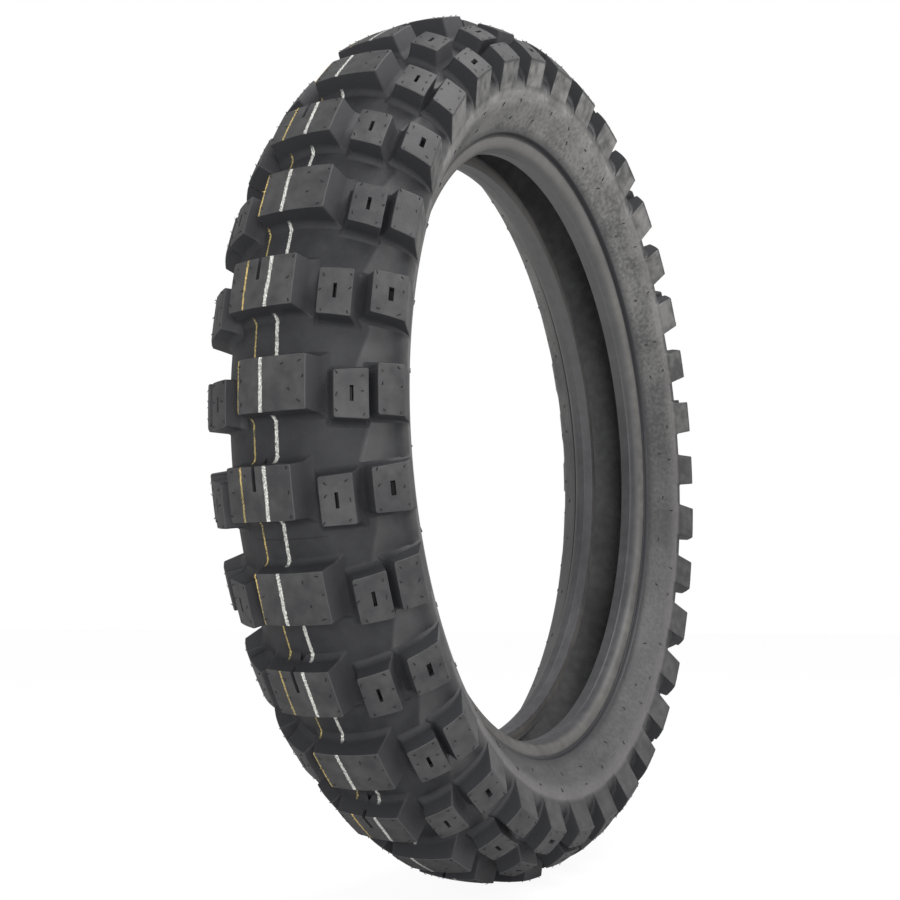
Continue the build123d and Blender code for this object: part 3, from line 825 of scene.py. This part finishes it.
# across: the top's inner and outer edge, along its arc; foot: where the walls meet the casing,
# along it; long: length round the tyre at those two edges; slot: length, where its
# middle is, and width
BLOCK = dict(across=(-16.8, 27.8), foot=(-19.5, 30.2), long=(31.0, 31.0), top=CENTRE_TOP)
SHAPES = {
    "block": dict(BLOCK, slot=None),
    "block_slit": dict(BLOCK, slot=(14.0, 8.5, 7.5, 2.3)),
    "mid_far": dict(across=(42.0, 61.6), foot=(33.1, 53.0), long=(26.5, 28.3), top=SIDE_TOP,
                    slot=(8.8, 0.0, 52.0, 2.1)),
    "mid_close": dict(across=(30.8, 50.0), foot=(24.8, 46.9), long=(27.3, 28.4), top=SIDE_TOP,
                      slot=(8.8, 0.0, 40.4, 2.1)),
    "shoulder_narrow": dict(across=(67.0, 83.0), foot=(53.1, 87.7), long=(28.6, 29.3), top=SIDE_TOP,
                            slot=None),
    "shoulder_wide": dict(across=(61.2, 82.4), foot=(48.5, 87.3), long=(25.2, 27.4), top=SIDE_TOP,
                          slot=(8.2, 0.0, 72.4, 3.0)),
}


# %% Select by place, in edit mode
def select_where(kind, test):
    """Select the vertices, edges or faces that pass a test and nothing else; return how many."""
    bpy.ops.mesh.select_mode(type=kind)
    bpy.ops.mesh.select_all(action="DESELECT")
    mesh = bmesh.from_edit_mesh(bpy.context.edit_object.data)
    elements = {"VERT": mesh.verts, "EDGE": mesh.edges, "FACE": mesh.faces}[kind]
    count = 0
    for element in elements:
        if test(element):
            element.select_set(True)
            count += 1
    mesh.select_flush_mode()
    bmesh.update_edit_mesh(bpy.context.edit_object.data)
    return count


def at_height(element, z):
    return all(abs(v.co.z - z * MM) < CLOSE for v in element.verts)


def at_depth(vertex, depth):
    return abs(vertex.co.z - (TALL - depth) * MM) < CLOSE


def move(x=0.0, y=0.0, z=0.0):
    bpy.ops.transform.translate(value=(x * MM, y * MM, z * MM))


def scale(x, y, z, centre_y=0.0):
    bpy.ops.transform.resize(value=(x, y, z), center_override=(0, centre_y * MM, 0))


def cut(axis, at):
    """Bisect everything with a plane square to X or Y."""
    bpy.ops.mesh.select_all(action="SELECT")
    place = (at * MM, 0, 0) if axis == "x" else (0, at * MM, 0)
    bpy.ops.mesh.bisect(plane_co=place, plane_no=(1, 0, 0) if axis == "x" else (0, 1, 0))


# %% [markdown]
# The top starts as a plane.  Cuts across it give the wrap something to bend, and two of them
# each way outline the slot, which is pushed down.  The open edge is then extruded to the foot,
# leaning outwards, and once more along the ground as a flange.  Bevels round the top edges and
# turn the corner at the foot into the fillet.  The underside is cut into strips, so that the wrap
# bends it too and it stays inside the tread band.


# %% Model one knob on the bench
def bench_top(shape):
    """The top face with its rounded corners and cuts, at the knob's full height."""
    near, far = shape["across"]
    middle, width = (near + far) / 2, far - near
    bpy.ops.mesh.primitive_plane_add(size=1, enter_editmode=True, location=(0, 0, 0))
    scale(shape["long"][0] * MM, width * MM, 1)
    move(y=middle, z=TALL)
    select_where("VERT", lambda v: v.co.y > middle * MM)
    scale(shape["long"][1] / shape["long"][0], 1, 1)
    for y in steps(near, far, round(width / STRIP))[1:-1]:
        cut("y", y)
    for x in TOP_CUTS:
        cut("x", x)
    half = (shape["long"][0] / 2, shape["long"][1] / 2)
    select_where("VERT", lambda v: any(
        abs(abs(v.co.x) - half[k] * MM) < CLOSE and abs(v.co.y - (near, far)[k] * MM) < CLOSE
        for k in range(2)))
    bpy.ops.mesh.bevel(offset=CORNER * MM, segments=3, affect="VERTICES")


def in_slot(shape, point):
    """True for a place on the bench inside the slot's outline."""
    if not shape["slot"]:
        return False
    length, x, y, wide = shape["slot"]
    return (abs(point.x - x * MM) < length / 2 * MM + CLOSE
            and abs(point.y - y * MM) < wide / 2 * MM + CLOSE)


def bench_slot(shape):
    """Push the slot down; a slit that reaches the edge is left open there."""
    length, x, y, wide = shape["slot"]
    edge = shape["long"][0] / 2
    rim = (edge - OPEN_END) * MM
    for at in (x - length / 2, x + length / 2):
        if abs(at) < edge - CORNER:
            cut("x", at)
    for at in (y - wide / 2, y + wide / 2):
        cut("y", at)
    select_where("FACE", lambda f: in_slot(shape, f.calc_center_median()))
    bpy.ops.mesh.extrude_region_move(TRANSFORM_OT_translate={"value": (0, 0, -SLOT_DEEP * MM)})
    if x + length / 2 > edge - OPEN_END:
        select_where("FACE", lambda f: abs(f.normal.x) > 0.9 and f.calc_center_median().x > rim)
        bpy.ops.mesh.delete(type="FACE")
        select_where("VERT", lambda v: at_depth(v, SLOT_DEEP) and v.co.x > rim)
        move(x=DRAFT_END * SLOT_DEEP / TALL)


def bench_walls(shape):
    """Extrude the outline down to the foot and out along the ground."""
    near, far = shape["across"]
    width, length = far - near, max(shape["long"])
    middle = (near + far) / 2
    select_where("EDGE", lambda e: e.is_boundary)
    bpy.ops.mesh.extrude_region_move()
    scale(1 + 2 * DRAFT_END / length, 1 + 2 * DRAFT_OUT / width, 0, middle)
    select_where("EDGE", lambda e: e.is_boundary)
    bpy.ops.mesh.extrude_region_move()
    foot_long, foot_wide = length + 2 * DRAFT_END, width + 2 * DRAFT_OUT
    scale(1 + 2 * FOOT_FLANGE / foot_long, 1 + 2 * FOOT_FLANGE / foot_wide, 1, middle)
    select_where("EDGE", lambda e: at_height(e, 0) and not e.is_boundary
                 and any(not at_height(f, 0) for f in e.link_faces))
    bpy.ops.mesh.bevel(offset=FOOT_FILLET * MM, segments=4, affect="EDGES")
    select_where("EDGE", lambda e: at_height(e, TALL) and any(not at_height(f, TALL) for f in e.link_faces)
                 and not in_slot(shape, (e.verts[0].co + e.verts[1].co) / 2))
    bpy.ops.mesh.bevel(offset=EDGE_ROUND * MM, segments=2, affect="EDGES")
    select_where("EDGE", lambda e: e.is_boundary)
    bpy.ops.mesh.edge_face_add()
    for y in steps(near, far, UNDER_STRIPS):
        select_where("FACE", lambda f: at_height(f, 0) and abs(f.calc_center_median().x) < MM)
        bpy.ops.mesh.bisect(plane_co=(0, y * MM, 0), plane_no=(0, 1, 0))


# %% [markdown]
# The wrap reads a bench point as: x along the tread, y the place on the top's arc, z the height.
# Near the foot the height is measured from the casing and near the top from the crown, so the
# fillet and the slot keep their size while the wall between them stretches.

# %% Wrap a bench point on to the tyre
NEAR_FOOT = 5.0
NEAR_TOP = 8.0


def wrapped(point, shape):
    """Where a point of a bench knob lands at the top of the tyre, on its +Y side."""
    x, y, z = (c / MM for c in point)
    near, far = shape["across"][0] - DRAFT_OUT, shape["across"][1] + DRAFT_OUT
    t_near, t_far = shape["foot"]
    share = (y - near) / (far - near)
    t = t_near + share * (t_far - t_near)
    t = t_near + (y - near) if y < near else t
    t = t_far + (y - far) if y > far else t
    arc_r, top_r = shape["top"]
    on_flange = max(near - y, y - far, abs(x) - max(shape["long"]) / 2 - DRAFT_END, 0.0)
    foot = Vector(casing(t, -FLANGE_SINK * on_flange / FOOT_FLANGE))
    crown = Vector((arc_r * sin(y / arc_r), top_r - arc_r + arc_r * cos(y / arc_r)))
    full = (crown - foot).length
    height = z if z < NEAR_FOOT else full - (TALL - z)
    if NEAR_FOOT <= z < NEAR_TOP:
        upper = full - (TALL - NEAR_TOP)
        height = NEAR_FOOT + (upper - NEAR_FOOT) * (z - NEAR_FOOT) / (NEAR_TOP - NEAR_FOOT)
    at_y, at_r = foot + (crown - foot) * (height / full)
    return Vector((x * MM, at_y * MM, sqrt(at_r ** 2 - x ** 2) * MM))


# %% [markdown]
# Small whiskers stand on every knob where the mould was vented.  One whisker is a thin five-sided
# stub, and each knob gets a handful near its long edges, before it is wrapped.  Later, when the
# row is complete, every whisker is bent and cropped by its own random amount.  The order of a
# mesh's faces can change from run to run, so the whiskers are sorted by place before any draw.


# %% Whiskers
WHISKER_R = 0.45
WHISKER_LONG = 2.0
WHISKER_ROOT = 0.4
WHISKER_SIDES = 5
WHISKER_INSET = 2.4            # from a top's long edges
WHISKER_PLACES = (-0.78, 0.1, 0.8)         # along them, as shares of half the length
WIDE_TOP = 30.0
WIDE_PLACES = ((0.75, 13), (-0.2, 11))     # a share of half the length, and the inset
WHISKER_LEAN = (1.8, 3.0)      # how far a tip is bent aside, from least to most
WHISKER_CROP = (0.6, 1.0)      # and how much of it is cropped
TIP_LIFT = 1.1
TIP_TAPER = 0.7


def whisker_spots(shape):
    """Places near the long edges of a top: three along each, and two more inside a wide block."""
    near, far = shape["across"]
    half = shape["long"][0] / 2
    spots = [(x * half, y) for y in (near + WHISKER_INSET, far - WHISKER_INSET) for x in WHISKER_PLACES]
    if far - near > WIDE_TOP:
        spots += [(x * half, far - inset) for x, inset in WIDE_PLACES]
    return spots


def add_whiskers(shape):
    """Stand the whiskers on the knob that is being edited."""
    for x, y in whisker_spots(shape):
        bpy.ops.mesh.select_all(action="DESELECT")
        bpy.ops.mesh.primitive_cylinder_add(
            vertices=WHISKER_SIDES, radius=WHISKER_R * MM, depth=WHISKER_LONG * MM, location=(0, 0, 0))
        move(x, y, TALL + WHISKER_LONG / 2 - WHISKER_ROOT)


def bend_whiskers(mesh, lift, dice):
    """Bend and crop every whisker by moving its tip face, the only kind that is lifted so high."""
    tips = [face for face in mesh.faces if all(vert[lift] > TIP_LIFT for vert in face.verts)]
    tips.sort(key=lambda face: [round(c / MM, 2) for c in face.calc_center_median()])
    for tip in tips:
        end, out = tip.calc_center_median(), tip.normal.copy()
        out = -out if out.dot(end) < 0 else out
        lean = Vector([dice.uniform(-1, 1) for axis in range(3)])
        lean = (lean - out * lean.dot(out)).normalized() * dice.uniform(*WHISKER_LEAN)
        shift = (lean - out * dice.uniform(*WHISKER_CROP)) * MM
        for vert in tip.verts:
            vert.co = end + (vert.co - end) * TIP_TAPER + shift


# %% [markdown]
# One finished knob is copied round the tyre by duplicate-spin, which turns each copy about the
# axle by a pitch.  The right-hand side is the same knob mirrored, as on the real tyre, where the
# narrow and the wide shoulder knob swap sides from row to row.


# %% Make the rows
SLOT_MARK = -1.0               # the lift of a slot's floor
KNOB_SMOOTH = radians(42)


def knob_row(name, shape_name, row_deg, side, node):
    """Model a knob, wrap it, copy it round the tyre, and put the row in its node's place."""
    shape = SHAPES[shape_name]
    bench_top(shape)
    piece = bpy.context.object
    piece.name = piece.data.name = name
    if shape["slot"]:
        bench_slot(shape)
    bench_walls(shape)
    add_whiskers(shape)
    mesh = bmesh.from_edit_mesh(piece.data)
    lift = mesh.verts.layers.float.new("lift")
    turn = Matrix.Rotation(radians(FIRST_ROW - row_deg), 3, "Y")
    for vert in mesh.verts:
        vert[lift] = max(0.0, vert.co.z / (TALL * MM))
        if at_depth(vert, SLOT_DEEP) and in_slot(shape, vert.co):
            vert[lift] = SLOT_MARK
        place = wrapped(vert.co, shape)
        place.y *= side
        vert.co = turn @ place
    bmesh.update_edit_mesh(piece.data)
    bpy.ops.mesh.select_all(action="SELECT")
    bpy.ops.mesh.spin(steps=PITCHES - 1, dupli=True, use_auto_merge=False, center=(0, 0, 0), axis=AXLE,
                      angle=2 * pi * (PITCHES - 1) / PITCHES)
    mesh = bmesh.from_edit_mesh(piece.data)
    bend_whiskers(mesh, mesh.verts.layers.float["lift"], random.Random(name))
    bmesh.update_edit_mesh(piece.data)
    finish_mesh(piece, TREAD_RUBBER, KNOB_SMOOTH)
    even = piece.modifiers.new("even_shading", "WEIGHTED_NORMAL")
    even.keep_sharp = True
    bpy.context.view_layer.objects.active = piece
    bpy.ops.object.modifier_apply(modifier=even.name)
    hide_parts(node)


ROWS = [
    ("block_row_a", "block", 0.0, -1, "centre_blocks_a"),
    ("block_row_b", "block_slit", B_ROW, 1, "centre_blocks_b"),
    ("mid_row_a_right", "mid_far", MID_LAG, -1, "mid_knobs_a_right"),
    ("mid_row_a_left", "mid_close", MID_LAG, 1, "mid_knobs_a_left"),
    ("mid_row_b_right", "mid_close", B_ROW + MID_LAG, -1, "mid_knobs_b_right"),
    ("mid_row_b_left", "mid_far", B_ROW + MID_LAG, 1, "mid_knobs_b_left"),
    ("shoulder_row_a_right", "shoulder_narrow", SHOULDER_LAG, -1, "shoulder_knobs_a_right"),
    ("shoulder_row_a_left", "shoulder_wide", SHOULDER_LAG, 1, "shoulder_knobs_a_left"),
    ("shoulder_row_b_right", "shoulder_wide", B_ROW + SHOULDER_LAG, -1, "shoulder_knobs_b_right"),
    ("shoulder_row_b_left", "shoulder_narrow", B_ROW + SHOULDER_LAG, 1, "shoulder_knobs_b_left"),
]
for row in ROWS:
    knob_row(*row)

# %% [markdown]
# ## The pieces inside
# The lining, the plies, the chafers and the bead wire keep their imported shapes.  Each only needs
# its own finish: cord under rubber shows as fine parallel ribs, and wire as bronzed steel.


# %% Materials of the inner pieces
PLY_TONES = ((0.05, 0.045, 0.04, 1), (0.09, 0.08, 0.07, 1))
RIB_SCALE = 260.0
RIB_WAVER = 0.4
RIB_BUMP = 0.5
RIB_DEEP = 0.5 * MM


def ribbed(name, dark, pale, across, roughness):
    """Rubbered cord: fine ribs at an angle, on top of the usual mottling."""
    material, nodes = rubber(name, dark, pale, roughness)
    tree = nodes["tree"]
    turned = add_node(tree, "ShaderNodeMapping", {"Vector": nodes["place"], "Rotation": (0, across, 0)})
    ribs = add_node(tree, "ShaderNodeTexWave", {
        "Vector": turned.outputs[0], "Scale": RIB_SCALE, "Distortion": RIB_WAVER},
                    wave_type="BANDS", bands_direction="X")
    bump = add_node(tree, "ShaderNodeBump", {
        "Height": ribs.outputs[1], "Strength": RIB_BUMP, "Distance": RIB_DEEP})
    tree.links.new(bump.outputs[0], nodes["shader"].inputs["Normal"])
    return material


LINING = ribbed("lining", (0.09, 0.09, 0.093, 1), (0.14, 0.14, 0.143, 1), radians(20), 0.7)
PLY_UP = ribbed("ply_cord_up", *PLY_TONES, radians(35), 0.8)
PLY_DOWN = ribbed("ply_cord_down", *PLY_TONES, radians(-35), 0.8)
CHAFER = ribbed("chafer_cloth", (0.04, 0.04, 0.04, 1), (0.07, 0.07, 0.07, 1), radians(60), 0.85)
FILLER = rubber("filler_rubber", (0.03, 0.03, 0.03, 1), (0.05, 0.05, 0.05, 1), 0.7)[0]
WIRE, wire_nodes = rubber("bronzed_wire", (0.36, 0.27, 0.17, 1), (0.5, 0.4, 0.28, 1), 0.3)
wire_nodes["shader"].inputs["Metallic"].default_value = 1.0

# %% Finish the inner pieces
FINISHES = {
    "inner_liner": LINING,
    "carcass_ply_inner": PLY_UP,
    "carcass_ply_outer": PLY_DOWN,
    "breaker_ply_inner": PLY_UP,
    "breaker_ply_outer": PLY_DOWN,
}
for side in ("left", "right"):
    FINISHES["chafer_" + side] = CHAFER
    FINISHES["bead_filler_" + side] = FILLER
    FINISHES["bead_core_" + side] = FILLER
    FINISHES["bead_wires_" + side] = WIRE
for node, material in FINISHES.items():
    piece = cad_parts[node]
    piece.data.materials.clear()
    piece.data.materials.append(material)
print("inner pieces finished:", len(FINISHES))
